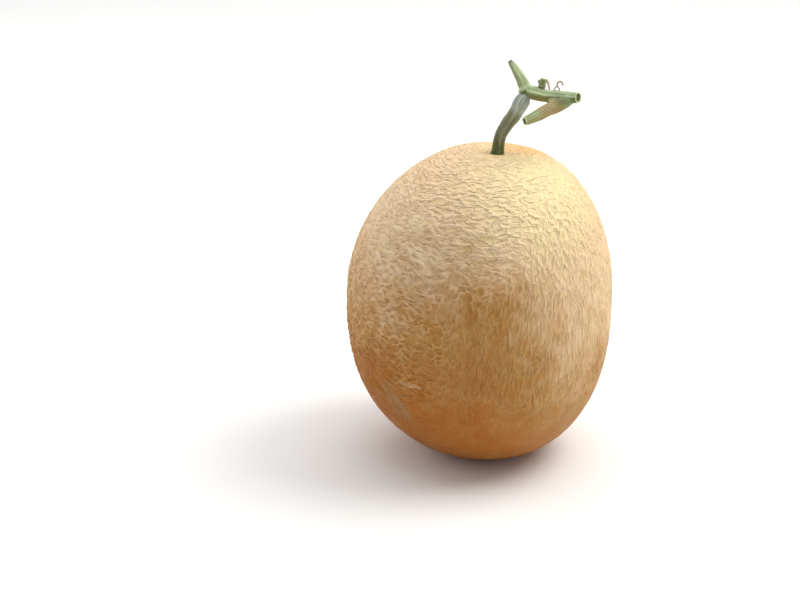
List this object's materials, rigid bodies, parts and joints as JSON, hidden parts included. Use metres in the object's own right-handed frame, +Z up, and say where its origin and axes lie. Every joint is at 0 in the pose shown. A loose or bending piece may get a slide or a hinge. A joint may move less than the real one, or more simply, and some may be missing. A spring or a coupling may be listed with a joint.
{
  "type": "cantaloupe melon",
  "caption": "Whole netted cantaloupe melon with its fruit stalk and a cut piece of vine, standing on the flat spot at its blossom end.",
  "frame": {"origin": "centre of the whole part's footprint, on the surface that the melon stands on", "axes": "+Z up, from the blossom end to the stem end; +X is the side that the stem leans to; -Y is the side that the picture shows"},
  "size_m": [0.15, 0.1504, 0.225],
  "materials": {
    "rind": "dry corky net, pale buff, raised on an ochre rind that is satin",
    "stalk": "dull grey-green bark with fine lengthwise ribs",
    "vine": "pale green ribbed stem, downy, with dry cut ends"
  },
  "bodies": {
    "root": {"fruit": "rind", "stalk": "stalk", "vine": "vine"}
  },
  "joints": []
}
